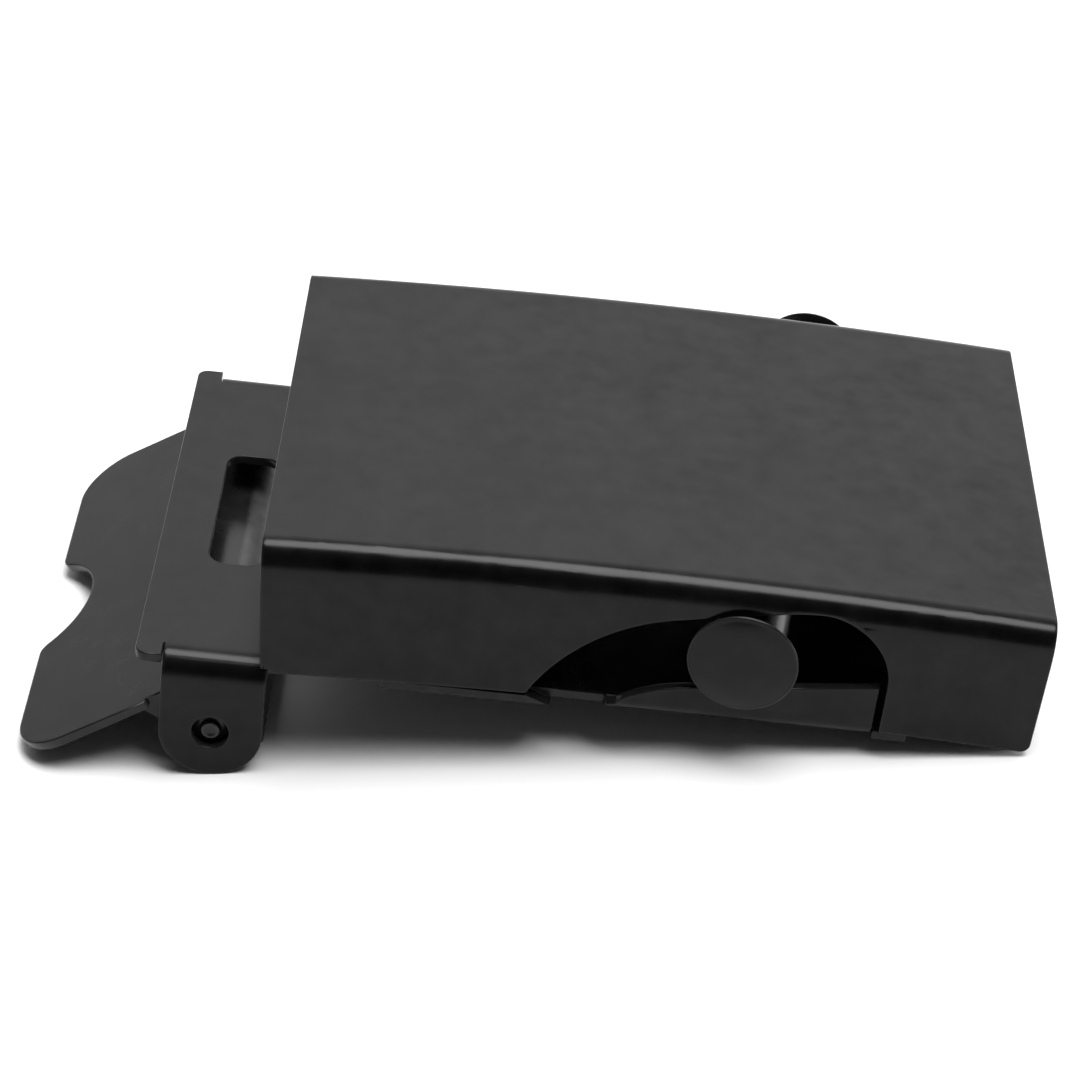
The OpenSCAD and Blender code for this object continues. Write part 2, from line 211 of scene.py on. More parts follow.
def score(mesh, across, along=()):
    """Cuts the blank's faces along straight lines, so that it can bend there."""
    bm = bmesh.new()
    bm.from_mesh(mesh)
    for normal, values in ((Vector((0, 1, 0)), across), (Vector((1, 0, 0)), along)):
        for value in values:
            bmesh.ops.bisect_plane(bm, geom=bm.verts[:] + bm.edges[:] + bm.faces[:], dist=1e-5,
                                   plane_co=normal * float(value), plane_no=normal)
    bm.to_mesh(mesh)
    bm.free()


def points_of(mesh):
    """All points of a mesh as rows of x, y, z."""
    co = np.empty(len(mesh.vertices) * 3)
    mesh.vertices.foreach_get("co", co)
    return co.reshape(-1, 3)


def bend(mesh, rule):
    """Moves all points of a mesh by a rule on whole arrays, and leaves them in metres."""
    mesh.vertices.foreach_set("co", rule(points_of(mesh)).ravel())
    mesh.update()


# %% [markdown]
# ## Finishing a piece
#
# Every finished piece is handled alike. Its doubles are merged, its shading is smooth with
# the large faces counting most, it rides on its body, and it stands for its solid. A
# signed volume says whether the faces point outwards.

# %% From a mesh to a piece that rides on its body
merge_m, large_face_weight = 1e-7, 60


def finished(name, meshes, body, node, material):
    """Makes one object of one or more meshes. The volume is the sum of a.(b x c)/6 over
    its triangles, and it is positive when the faces point outwards."""
    bm = bmesh.new()
    for mesh in meshes:
        bm.from_mesh(mesh)
    bmesh.ops.remove_doubles(bm, verts=bm.verts[:], dist=merge_m)
    bmesh.ops.recalc_face_normals(bm, faces=bm.faces[:])
    volume = bm.calc_volume(signed=True) * 1e9
    open_edges = sum(not e.is_manifold for e in bm.edges)
    mesh = bpy.data.meshes.new(name)
    bm.to_mesh(mesh)
    bm.free()
    mesh.shade_smooth()
    piece = bpy.data.objects.new(name, mesh)
    bpy.context.scene.collection.objects.link(piece)
    weighted = piece.modifiers.new("weighted normals", "WEIGHTED_NORMAL")
    weighted.weight = large_face_weight
    mesh.materials.append(material)
    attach(piece, body)
    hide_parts(node)
    low, high = (np.array(corner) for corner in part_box(node))
    points = points_of(mesh)
    off = np.abs([points.min(0) - low, points.max(0) - high]).max() * 1000
    print(f"{name}: {len(mesh.polygons)} faces, {volume:.1f} mm3, {open_edges} open edges, "
          f"box within {off:.3f} mm of its solid")


# %% [markdown]
# ## The coat
#
# The steel is black all over, with a satin coat that is a little cloudy: it reflects the
# pale room softly, more in some patches than in others. Three effects make it, each a
# node group of its own, so that every material can use them with its own values: cloudy
# patches, a fine grain, and rims where handling has worn the coat through. The last one
# also carries a painted highlight on the lever's barrel. A noise's scale counts its
# patches per metre, so that 160 makes them about 6 mm wide.

# %% Node groups
def new_group(name, inputs, outputs):
    """An empty node group with named sockets: inputs as (name, value), outputs as names."""
    group = bpy.data.node_groups.new(name, "ShaderNodeTree")
    for label, value in inputs:
        socket = group.interface.new_socket(label, in_out="INPUT", socket_type="NodeSocketFloat")
        socket.default_value = value
    for label in outputs:
        group.interface.new_socket(label, in_out="OUTPUT", socket_type="NodeSocketFloat")
    return group, group.nodes.new("NodeGroupInput"), group.nodes.new("NodeGroupOutput")


def math_node(tree, operation, a, b):
    """A Math node whose two sockets take a number or a link."""
    node = tree.nodes.new("ShaderNodeMath")
    node.operation = operation
    for socket, value in zip(node.inputs, (a, b)):
        if isinstance(value, (int, float)):
            socket.default_value = value
        else:
            tree.links.new(value, socket)
    return node.outputs[0]


def scaled(tree, value, factor, offset):
    """A value times a factor plus an offset, where the offset may be a link too."""
    return math_node(tree, "ADD", math_node(tree, "MULTIPLY", value, factor), offset)


def noise_node(tree, coords, scale, detail, roughness=0.5):
    """A Noise texture on the piece's own coordinates, 0 to 1."""
    node = tree.nodes.new("ShaderNodeTexNoise")
    tree.links.new(coords, node.inputs["Vector"])
    node.inputs["Scale"].default_value = scale
    node.inputs["Detail"].default_value = detail
    node.inputs["Roughness"].default_value = roughness
    return node.outputs["Fac"]


def cloud_group():
    """Cloudy patches: a broad noise and a small one, added up, spread about 0 and scaled."""
    group, given, out = new_group("cloudy patches", [("Strength", 1.0)], ["Value"])
    coords = group.nodes.new("ShaderNodeTexCoord").outputs["Object"]
    broad_share, small_share = 0.4, 0.6
    broad = noise_node(group, coords, scale=160, detail=3)
    small = noise_node(group, coords, scale=620, detail=4, roughness=0.6)
    mixed = scaled(group, broad, broad_share, math_node(group, "MULTIPLY", small, small_share))
    centred = math_node(group, "SUBTRACT", mixed, 0.5)
    group.links.new(math_node(group, "MULTIPLY", centred, given.outputs["Strength"]), out.inputs[0])
    return group


def grain_group():
    """The coat's skin as a height: fine grain, and the slow waves of pressed sheet."""
    group, given, out = new_group("coat skin", [("Grain", 1.0), ("Waves", 1.0)], ["Height"])
    coords = group.nodes.new("ShaderNodeTexCoord").outputs["Object"]
    fine = noise_node(group, coords, scale=9000, detail=2)
    slow = noise_node(group, coords, scale=210, detail=2)
    waves = math_node(group, "MULTIPLY", slow, given.outputs["Waves"])
    group.links.new(scaled(group, fine, given.outputs["Grain"], waves), out.inputs[0])
    return group


def wear_and_highlight_group():
    """Worn rims, and the painted highlight on the lever's barrel: the edge number of the mesh,
    broken up by noise, as a mask 0 to 1.
    """
    group, given, out = new_group("rim wear", [("Amount", 0.5)], ["Mask"])
    attribute = group.nodes.new("ShaderNodeAttribute")
    attribute.attribute_name = "edge"
    coords = group.nodes.new("ShaderNodeTexCoord").outputs["Object"]
    least_wear = 0.25
    patchy = math_node(group, "ADD", noise_node(group, coords, scale=900, detail=3), least_wear)
    worn = math_node(group, "MULTIPLY", attribute.outputs["Fac"], patchy)
    mask = math_node(group, "MULTIPLY", worn, given.outputs["Amount"])
    group.links.new(math_node(group, "MINIMUM", mask, 1.0), out.inputs[0])
    return group


clouds, skin, wear_and_highlight = cloud_group(), grain_group(), wear_and_highlight_group()
print("node groups:", clouds.name, "/", skin.name, "/", wear_and_highlight.name)


# %% [markdown]
# One recipe makes every material, each with its own values. The clouds shift three things
# a little: the colour, the roughness, and a thin clear varnish over the black. A change in
# the colour also shows where the steel mirrors something dark, and a change in the varnish
# shows most where it mirrors something bright.

# %% The satin black coat
varnish_mean, varnish_swing = 0.1, 0.16
tint_mean, darkest, lightest = 0.45, 0.1, 1.9
rough_swing, worn_rough = 0.2, 0.3
# Bare grey steel, for worn rims, and also laid on the lever's barrel as a painted highlight.
bare_steel_and_highlight = (0.24, 0.24, 0.245, 1)
skin_m = 0.00001
mix_a, mix_b, mix_out = 6, 7, 2


def mixed_colour(tree, factor, first, second):
    """A Mix node between two colours, each of them a colour or a link. The sockets of a
    Mix node share their names, so its two colours and its result go by their numbers."""
    node = tree.nodes.new("ShaderNodeMix")
    node.data_type = "RGBA"
    tree.links.new(factor, node.inputs["Factor"])
    for number, value in ((mix_a, first), (mix_b, second)):
        if isinstance(value, tuple):
            node.inputs[number].default_value = value
        else:
            tree.links.new(value, node.inputs[number])
    return node.outputs[mix_out]


def coated_steel(name, coat, roughness, cloud, grain, waves, worn, specular):
    """Black coat over steel. Varnish and roughness are their mean plus a swing times the
    cloud value, and the colour runs from a dark to a light share of the coat's. Wear lays
    bare metal, which is rougher; on the lever's barrel the same bare metal is a painted
    highlight."""
    material = bpy.data.materials.new(name)
    material.use_nodes = True
    tree = material.node_tree
    shader = tree.nodes["Principled BSDF"]
    shader.inputs["Specular IOR Level"].default_value = specular
    shader.inputs["Coat Roughness"].default_value = roughness

    def place(group, **values):
        node = tree.nodes.new("ShaderNodeGroup")
        node.node_tree = group
        for label, value in values.items():
            node.inputs[label].default_value = value
        return node.outputs[0]

    cloudy = place(clouds, Strength=cloud)
    wear_and_highlight_mask = place(wear_and_highlight, Amount=worn)
    shades = [tuple(c * share for c in coat) + (1,) for share in (darkest, lightest)]
    tinted = mixed_colour(tree, math_node(tree, "ADD", cloudy, tint_mean), *shades)
    rough = scaled(tree, cloudy, rough_swing, roughness)
    bump = tree.nodes.new("ShaderNodeBump")
    bump.inputs["Strength"].default_value = 1.0
    bump.inputs["Distance"].default_value = skin_m
    tree.links.new(place(skin, Grain=grain, Waves=waves), bump.inputs["Height"])
    for socket, value in (
            ("Base Color", mixed_colour(tree, wear_and_highlight_mask, tinted, bare_steel_and_highlight)),
            ("Coat Weight", scaled(tree, cloudy, varnish_swing, varnish_mean)),
            ("Metallic", wear_and_highlight_mask),
            ("Roughness", scaled(tree, wear_and_highlight_mask, worn_rough, rough)),
            ("Normal", bump.outputs["Normal"])):
        tree.links.new(value, shader.inputs[socket])
    return material


# %% Its variants for sheet, roller and pin
black, pin_black = (0.002, 0.002, 0.0021), (0.004, 0.004, 0.0042)
sheet = dict(coat=black, cloud=1.6, grain=0.2, worn=0.05)
turned_bar = dict(coat=black, cloud=1.2, grain=0.2)
coat_cover = coated_steel("satin_black_cover", roughness=0.21, waves=0.6, specular=0.125, **sheet)
coat_frame = coated_steel("satin_black_frame", roughness=0.22, waves=0.6, specular=0.125, **sheet)
coat_lever = coated_steel("satin_black_lever", roughness=0.24, waves=0.8, specular=0.2, **sheet)
coat_knob = coated_steel("satin_black_knob", roughness=0.18, waves=0.8, worn=0.06, specular=0.13,
                         **turned_bar)
coat_bar = coated_steel("satin_black_bar", roughness=0.2, waves=0.5, worn=0.05, specular=0.25,
                        **turned_bar)
coat_pin = coated_steel("blackened_pin", coat=pin_black, roughness=0.32, cloud=1.2, grain=0.3,
                        waves=0.6, worn=0.08, specular=0.25)
print("materials:", [m.name for m in (coat_cover, coat_frame, coat_lever, coat_knob, coat_bar, coat_pin)])

# %% [markdown]
# ## Folding
#
# A fold is a quarter turn of the sheet about a line. On the blank it is a strip, and every
# point of that strip turns by its share of 90 degrees. The track walls are folded tight,
# on a plain quarter circle. The flanges and the ears spring back a little on the real
# sheet: a bend of 60 degrees, and below it a long toe that eases to upright. That toe is
# what carries the black band under the bright line along the buckle's edge. It also sets
# the flanges and the ears a few tenths of a millimetre outside their solids, which have
# the tight fold.

# %% The tight fold of the track walls
fold_mid = fold_r - sheet_t / 2
fold_len = fold_mid * math.pi / 2
fold_y = half_w - fold_r
fold_steps = 8
fold_lines = fold_y + np.linspace(0, fold_len, fold_steps + 1)


def folded_up(p):
    """Section of a wall folded up. w is the distance past the fold's start, a = w / r up to
    90 degrees, and h the height off the middle surface. Then y = start + (r - h) sin a and
    z = r - (r - h) cos a, and what is past the fold stands straight up."""
    side, w, h = np.sign(p[:, 1]), np.abs(p[:, 1]) - fold_y, p[:, 2]
    a = np.clip(w / fold_mid, 0, math.pi / 2)
    past = np.maximum(w - fold_len, 0)
    y = fold_y + np.minimum(w, 0) + (fold_mid - h) * np.sin(a)
    return side * y, fold_mid - (fold_mid - h) * np.cos(a) + past


# %% The eased fold of the flanges and the ears
cover_proud, ear_proud = 0.34, 0.2
cover_half_w, ear_half_w = half_w + cover_proud, half_w + ear_proud
bend_mid, bend_turn, toe_l, bend_steps, toe_steps = 1.35, 60, 2.4, 7, 8
bend_l = bend_mid * math.radians(bend_turn)
strip_l, samples_per_mm = 15, 100
strip = np.linspace(0, strip_l, strip_l * samples_per_mm + 1)
toe = np.clip((strip - bend_l) / toe_l, 0, 1)
strip_turn = np.radians(np.where(strip < bend_l, bend_turn * strip / bend_l,
                                 90 - (90 - bend_turn) * (1 - toe) ** 2))


def added_up(rate):
    """Running sum of a rate along the strip, each step with the mean of its two ends."""
    return np.concatenate([[0], np.cumsum((rate[:-1] + rate[1:]) / 2 * np.diff(strip))])


strip_out, strip_drop = added_up(np.cos(strip_turn)), added_up(np.sin(strip_turn))
cover_fold_y, ear_fold_y = (w - sheet_t / 2 - strip_out[-1] for w in (cover_half_w, ear_half_w))
eased_lines = np.concatenate([np.linspace(0, bend_l, bend_steps + 1),
                              bend_l + toe_l * np.linspace(0, 1, toe_steps + 1)[1:]])


def eased(p, start):
    """Section of a flange or an ear folded down from start. The middle surface is the
    running sum of (cos, -sin) of the turn, and a point at height h off it is moved by
    h (sin, cos) of the turn there."""
    side, w, h = np.sign(p[:, 1]), np.abs(p[:, 1]) - start, p[:, 2]
    a = np.interp(w, strip, strip_turn)
    y = start + np.minimum(w, 0) + np.interp(w, strip, strip_out) + h * np.sin(a)
    return side * y, h * np.cos(a) - np.interp(w, strip, strip_drop)


def on_eased(depth, start):
    """Where a depth below the sheet's top face lies on the blank."""
    return start + np.interp(np.asarray(depth) - sheet_t / 2, strip_drop, strip)


print("eased fold:", round(bend_l + toe_l, 2), "mm of sheet, starting", round(cover_fold_y, 2),
      "mm from the middle on the cover and", round(ear_fold_y, 2), "mm on the back frame")


# %% [markdown]
# ## The cover
#
# The cover is one blank: the top, and a flange on each side with its long opening. On the
# real one the die also presses the gentle arch. Here the openings are drawn on the
# finished side view, and a formula takes each of their points back to the flat blank. The
# right end leans out by 0.03 mm for each mm of depth, which it doesn't on the solid.

# %% From the side view to the blank
opening_right_x, opening_top, opening_corner_r = 42.45, 1.6, 5.1
opening_crown_r, opening_crown_x = 18.0, 34.4
opening_sweep_r, opening_sweep_x, opening_sweep_end_x = 13.4, 30.45, 27.8
corner_x = opening_right_x - opening_corner_r
crown_z = -opening_top - opening_crown_r
crown_y = crown_z + math.sqrt(opening_crown_r ** 2 - (corner_x - opening_crown_x) ** 2)
top_slope = (corner_x - opening_crown_x) / (crown_y - crown_z)
sweep_end_z = crown_y - top_slope * (opening_crown_x - opening_sweep_end_x)
sweep_rise = math.sqrt(opening_sweep_r ** 2 - (opening_sweep_end_x - opening_sweep_x) ** 2)
sweep_z = sweep_end_z - sweep_rise
blank_l = 2 * arch_half * arch_r
ear_left_x, ear_right_x = pin_x - ear_r, pin_x + ear_r
heel_x, heel_z = ear_right_x + plate_seam, plate_top + plate_seam
right_end_lean, sweep_foot_l, arch_steps = 0.03, 0.15, 28


def on_cover(depth):
    """Where a depth below the crown lies on the cover's blank."""
    return on_eased(depth, cover_fold_y)


def unrolled(p):
    """Level x, z on a flange to blank length s = r (angle + half) and depth = r - distance,
    the angle and the distance seen from the arch's far axis."""
    x, z = np.asarray(p, float).T
    angle = np.arctan2(x - cover_l / 2, z + arch_r)
    depth = arch_r - np.hypot(x - cover_l / 2, z + arch_r)
    return np.stack([(angle + arch_half) * arch_r, on_cover(depth)], 1)


def level_z(s, depth):
    """Height of a point of the flange on the level buckle."""
    return (arch_r - depth) * np.cos(s / arch_r - arch_half) - arch_r


# %% Edge of one flange
bottom = on_cover(cover_h)
sweep_side = arc(opening_sweep_x, sweep_z, opening_sweep_r, 180, 90, 90)
sweep_flat = unrolled(sweep_side)
sweep = sweep_flat[(sweep_flat[:, 1] < bottom) & (sweep_side[:, 0] < opening_sweep_end_x)]
corner = arc(cover_corner_r, 0, cover_corner_r, 180, 90, 8)
corner[:, 1] += cover_h - cover_corner_r
left_corner = corner[level_z(corner[:, 0], corner[:, 1]) > heel_z]
right_corner = np.stack([blank_l - corner[::-1, 0] + right_end_lean * corner[::-1, 1],
                         on_cover(corner[::-1, 1])], 1)
heel_start_x = cover_l / 2 - (arch_r + heel_z) * math.tan(arch_half - left_corner[-1, 0] / arch_r)
crown = arc(corner_x, crown_z, opening_crown_r,
            math.degrees(math.atan2(crown_y - crown_z, opening_crown_x - corner_x)), 90, 6)
flange = np.concatenate([
    [(0, cover_fold_y)],
    np.stack([left_corner[:, 0], on_cover(left_corner[:, 1])], 1),
    unrolled([(heel_start_x, heel_z), (heel_x, heel_z)]),
    [(unrolled([(heel_x, heel_z)])[0, 0], bottom)],
    [(sweep[0, 0] - sweep_foot_l, bottom)],
    sweep,
    unrolled([(opening_sweep_end_x, sweep_end_z)]),
    unrolled(crown),
    unrolled(arc(corner_x, -opening_top - opening_corner_r, opening_corner_r, 90, 0, 24)[1:]),
    [(unrolled([(opening_right_x, -cover_h)])[0, 0], bottom)],
    right_corner,
    [(blank_l, cover_fold_y)],
])
print("edge of one flange:", len(flange), "points; the cover's flat blank is", round(blank_l, 1),
      "by", round(2 * bottom, 1), "mm")


# %% Stamp, fold and arch the cover
def arched(p):
    """Folds the flanges down, then lays the length on the arch: with the angle s / r - half
    and the distance d = r + height, x = middle + d sin and z = d cos - r."""
    y, z = eased(p, cover_fold_y)
    angle, d = p[:, 0] / arch_r - arch_half, arch_r - sheet_t / 2 + z
    level = np.stack([cover_l / 2 + d * np.sin(angle), y, d * np.cos(angle) - arch_r], 1)
    return lie_down(level)


cover_loop = outline(flange * (1, -1), flange[::-1])
cover_blank = stamp([cover_loop], sheet_t)
cover_lines = cover_fold_y + eased_lines
score(cover_blank, [*cover_lines, *-cover_lines, 0], np.linspace(0, blank_l, arch_steps + 1)[1:-1])
bend(cover_blank, arched)
finished("cover_skin", [cover_blank], "frame", "cover", coat_cover)

# %% [markdown]
# ## The back frame
#
# The back frame is one blank too. Its ears are folded down, to carry the pin, and its two
# track walls are folded up, to carry the roller. Where a fold ends, a narrow slit in the
# blank parts the folded strip from the flat one, as on the real sheet.

# %% Tracks and pockets
slit, pin_gap = 0.06, 0.02
left_half_w = half_w - plate_left_setback
straddled_w = half_w - sheet_t - plate_seam
straddle_l = cover_l / 2 * math.sqrt((-plate_top - cover_h - plate_seam) / cover_rise)
track_slope, track_ref_x, track_ref_z, track_right_x = math.radians(7), 32.2, -8.15, 42.0
nose_x, nose_r, pocket_x, pocket_r, pocket_depth = 29.0, 10.5, 21.4, 6.0, 0.8
pocket_z = plate_top - pocket_depth + pocket_r


def track_z(x):
    """Height of the straight sloping edge."""
    return track_ref_z + (x - track_ref_x) * math.tan(track_slope)


def on_wall(height):
    """Where a height above the plate's underside lies on the blank: on the fold the angle
    is acos((r_out - height) / r_mid), and past it the wall is straight."""
    a = np.arccos(np.clip((fold_r - height) / fold_mid, 0, 1))
    return fold_y + fold_mid * a + np.maximum(height - fold_r, 0)


def pocket_side(z):
    """Half the width of the pocket at a height."""
    return np.sqrt(pocket_r ** 2 - (pocket_z - z) ** 2)


plate_mid = plate_top - sheet_t / 2
nose_cx = nose_x + nose_r * math.sin(track_slope)
nose_cz = track_z(nose_x) - nose_r * math.cos(track_slope)
reach = math.hypot(pocket_x - nose_cx, pocket_z - nose_cz)
track_left_x = nose_cx + (pocket_x - nose_cx) * nose_r / reach
pocket_left, foot_x = pocket_x - pocket_side(plate_mid), pocket_x + pocket_side(plate_mid)
foot_along = np.linspace(foot_x, track_left_x, 5)
foot_z = pocket_z - np.sqrt(pocket_r ** 2 - (foot_along - pocket_x) ** 2)
foot = np.stack([foot_along, on_wall(foot_z - plate_bottom)], 1)
nose_along = np.linspace(track_left_x, nose_x, 16)[1:]
nose_z = nose_cz + np.sqrt(nose_r ** 2 - (nose_along - nose_cx) ** 2)
nose = np.stack([nose_along, on_wall(nose_z - plate_bottom)], 1)
print("one track: foot", len(foot), "points, nose", len(nose), "points")

# %% Edge of one side of the back frame
pin_v = on_eased(sheet_t + pin_drop, ear_fold_y)
plate_corner_start = math.degrees(math.asin((straddled_w - half_w + plate_right_r) / plate_right_r))
plate_corner = arc(plate_right_x - plate_right_r, half_w - plate_right_r, plate_right_r,
                   plate_corner_start, 0, 3)
frame_side = np.concatenate([
    arc(plate_left_x + plate_left_r, left_half_w - plate_left_r, plate_left_r, 180, 90, 8),
    [(ear_left_x - slit, left_half_w), (ear_left_x - slit, ear_fold_y), (ear_left_x, ear_fold_y)],
    arc(pin_x, pin_v, ear_r, 180, 0, 48),
    [(ear_right_x, ear_fold_y), (ear_right_x + slit, ear_fold_y), (ear_right_x + slit, straddled_w),
     (cover_l / 2 - straddle_l, straddled_w), (cover_l / 2 - straddle_l, half_w),
     (pocket_left, half_w), (pocket_left, fold_y)],
    foot, nose,
    [(track_right_x, on_wall(track_z(track_right_x) - plate_bottom)), (track_right_x, fold_y),
     (track_right_x + slit, fold_y), (track_right_x + slit, half_w),
     (cover_l / 2 + straddle_l, half_w), (cover_l / 2 + straddle_l, straddled_w)],
    plate_corner,
])
frame_loop = outline(frame_side * (1, -1), frame_side[::-1])
pin_hole = arc(pin_x, pin_v, pin_r + pin_gap, 360, 0, 40)[:-1]
slot_mid_x = slot_x + slot_w / 2
slot_hole = outline(*[
    arc(slot_mid_x + sx * (slot_w / 2 - slot_r), sy * (slot_l / 2 - slot_r), slot_r, a, a - 90, 8)
    for sx, sy, a in ((1, 1, 90), (1, -1, 0), (-1, -1, -90), (-1, 1, -180))])
print("back frame outline:", len(frame_loop), "points; its flat blank is",
      round(plate_right_x - plate_left_x, 1), "by", round(2 * frame_side[:, 1].max(), 1), "mm")


# %% Stamp and fold the back frame
cut_reach, v_slack, x_slack = 0.35, 1e-6, 1e-4


def folds(x, v, start, left, right):
    """Which points lie past a fold's start and between its two ends, ends included."""
    return (v > start - v_slack) & (x > left - x_slack) & (x < right + x_slack)


def frame_bent(p):
    """Ears down, track walls up, the rest flat. The pocket's left side is a slanting cut."""
    x, v = p[:, 0], np.abs(p[:, 1])
    near_cut = (np.abs(x - pocket_left) < cut_reach) & (v > fold_y - cut_reach) & (x < foot_x)
    x = x + near_cut * (pocket_side(plate_mid) - pocket_side(plate_mid + p[:, 2]))
    down_y, down_z = eased(p, ear_fold_y)
    up_y, up_z = folded_up(p)
    ear = folds(x, v, ear_fold_y, ear_left_x, ear_right_x)
    wall = folds(x, v, fold_y, foot_x, track_right_x)
    y = np.where(ear, down_y, np.where(wall, up_y, p[:, 1]))
    z = np.where(ear, down_z, np.where(wall, up_z, p[:, 2]))
    return lie_down(np.stack([x, y, plate_mid + z], 1))


frame_blank = stamp([frame_loop, pin_hole, pin_hole[::-1] * (1, -1), slot_hole], sheet_t)
ear_lines = ear_fold_y + eased_lines
score(frame_blank, [*fold_lines, *-fold_lines, *ear_lines, *-ear_lines])
bend(frame_blank, frame_bent)
finished("back_frame_skin", [frame_blank], "frame", "back_frame", coat_frame)

# %% [markdown]
# ## The clamp lever
#
# The lever is a flap with a thumb notch in its tip, and a barrel below its root that turns
# on the pin. The barrel has a toothed jaw on one side, which swings up against the
# webbing as the flap is closed. Barrel and flap are two stamped shapes: the barrel's
# section is stamped as thick as the buckle is wide, and then turned on its side.

# %% Flap and barrel, in the lever's own frame
barrel_r, jaw_r, jaw_w = 2.6, 3.75, 2.4
flap_root, flap_step, flap_half = 0.6, 3.05, 18.5
flap_corner_r, notch_r, notch_depth, notch_corner_r = 4.0, 6.0, 3.4, 1.15
lever_gap, flap_inset, barrel_gap = 0.2, 0.02, 0.05
neck_w, neck_lap, neck_sunk = 0.65, 0.05, 0.06
lever_half_w = half_w - sheet_t - lever_gap
root_half_w = lever_half_w - flap_inset
notch_cx = flap_l - notch_depth + notch_r
notch_cy = math.sqrt((notch_r + notch_corner_r) ** 2 - (notch_cx - flap_l + notch_corner_r) ** 2)
notch_turn = math.degrees(math.atan2(notch_cy, notch_cx - flap_l + notch_corner_r))
side_run = np.concatenate([
    [(flap_root, root_half_w), (flap_step, root_half_w), (flap_step, flap_half)],
    arc(flap_l - flap_corner_r, flap_half - flap_corner_r, flap_corner_r, 90, 0, 16),
    arc(flap_l - notch_corner_r, notch_cy, notch_corner_r, 0, -notch_turn, 10),
    arc(notch_cx, 0, notch_r, 180 - notch_turn, 180, 14),
])
flap_loop = outline(side_run * (1, -1), side_run[::-1])
groove_angle, groove_depth, groove_half, groove_count, first_groove = 12, 0.35, 5.3, 3, 2 / 3
teeth = []
for k in reversed(range(groove_count)):
    a = -90 - groove_angle * (k + first_groove)
    turn = np.radians([a - groove_half, a, a + groove_half])
    r = np.array([jaw_r, jaw_r - groove_depth, jaw_r])
    teeth.append(np.stack([r * np.cos(turn), r * np.sin(turn)], 1))
barrel_loop = outline(
    arc(0, 0, barrel_r, -90, 20, 20), [(flap_step + neck_w, flap_offset - sheet_t + neck_lap)],
    [(flap_step + neck_w, flap_offset - neck_sunk), (flap_root + neck_lap, flap_offset - neck_sunk)],
    arc(0, 0, barrel_r, 120, 180, 24), [(-jaw_w, 0), (-jaw_w, -math.sqrt(jaw_r ** 2 - jaw_w ** 2))],
    *teeth, [(0, -jaw_r)])
print("flap outline:", len(flap_loop), "points; barrel section:", len(barrel_loop), "points")


# %% Set the lever on its pin
round_slack = 0.01


def on_lever(p):
    """The lever's x runs to the flap's tip, its z to the flap's top face. Level x and z are
    the pin's place plus (-x cos a - z sin a, -x sin a + z cos a), with a the flap's slope."""
    c, s = math.cos(slope), math.sin(slope)
    return lie_down(np.stack([pin_x - p[:, 0] * c - p[:, 2] * s, p[:, 1],
                              pin_z - p[:, 0] * s + p[:, 2] * c], 1))


def paint_barrel_highlight(mesh, angle, spread, amount):
    """A painted highlight on one stretch of the barrel's round, which shows through the slot,
    laid on as worn bare steel: the edge number grows by amount times exp(-(turn / spread) ** 4),
    with the turn in degrees from the middle of the stretch, which lies at angle."""
    x, y, _ = points_of(mesh).T
    turn = np.degrees(np.arctan2(y, x)) - angle
    on_round = np.abs(np.hypot(x, y) - barrel_r) < round_slack
    edge = np.empty(len(mesh.vertices))
    mesh.attributes["edge"].data.foreach_get("value", edge)
    edge += on_round * amount * np.exp(-(turn / spread) ** 4)
    mesh.attributes["edge"].data.foreach_set("value", edge)


flap = stamp([flap_loop], sheet_t)
bend(flap, lambda p: on_lever(p + (0, 0, flap_offset - sheet_t / 2)))
barrel_hole = arc(0, 0, pin_r + barrel_gap, 360, 0, 40)[:-1]
barrel = stamp([barrel_loop, barrel_hole], 2 * lever_half_w, rim=0.05, shoulder=0.1)
# The bright stretch of the barrel under the slot is a painted highlight, laid on as bare grey steel.
paint_barrel_highlight(barrel, angle=148, spread=20, amount=14)
bend(barrel, lambda p: on_lever(np.stack([p[:, 0], -p[:, 2], p[:, 1]], 1)))
finished("clamp_lever_skin", [flap, barrel], "lever", "clamp_lever", coat_lever)

# %% [markdown]
# ## Turned pieces
#
# Pin, bar and knobs come off a lathe. A turned piece is a profile, a list of radius and
# place along the axis, carried once round that axis.

# %% The lathe
def turned(profile, worn, steps=96):
    """Point k on column i is (r cos a, along, r sin a), with a = 360 i / steps degrees. The
    profile starts and ends on the axis, where one point closes the piece."""
    profile = np.asarray(profile, float)
    a = np.linspace(0, 2 * math.pi, steps, endpoint=False)
    r, along = profile[1:-1, 0][:, None], profile[1:-1, 1][:, None]
    body = np.stack([r * np.cos(a), along + 0 * a, r * np.sin(a)], -1).reshape(-1, 3)
    points = np.concatenate([body, [(0, profile[0, 1], 0), (0, profile[-1, 1], 0)]])
    i = np.arange(steps)
    j = (i + 1) % steps
    k = np.arange(len(profile) - 3)[:, None] * steps
    faces = np.stack([k + i, k + j, k + steps + j, k + steps + i], -1).reshape(-1, 4).tolist()
    first, last, end = len(body), len(body) + 1, (len(profile) - 3) * steps
    faces += np.stack([j, i, np.full(steps, first)], 1).tolist()
    faces += np.stack([end + i, end + j, np.full(steps, last)], 1).tolist()
    return new_mesh(points, faces, np.concatenate([np.repeat(worn[1:-1], steps), [worn[0], worn[-1]]]))


def rounded(r, along, radius, start, end, steps=4):
    """A small arc of a profile, (r + radius cos a, along + radius sin a), and its wear of 1."""
    return [(*p, 1.0) for p in arc(r, along, radius, start, end, steps)]


def profile_of(*runs):
    """Profile points and their wear, from triples of radius, place and wear."""
    rows = np.array([row for run in runs for row in run], float)
    return rows[:, :2], rows[:, 2]


# %% [markdown]
# The pin was staked: a punch pressed a ring into each of its ends, and left a small boss
# with a dimple in the middle. A profile row is a radius, a place along the pin and a wear.

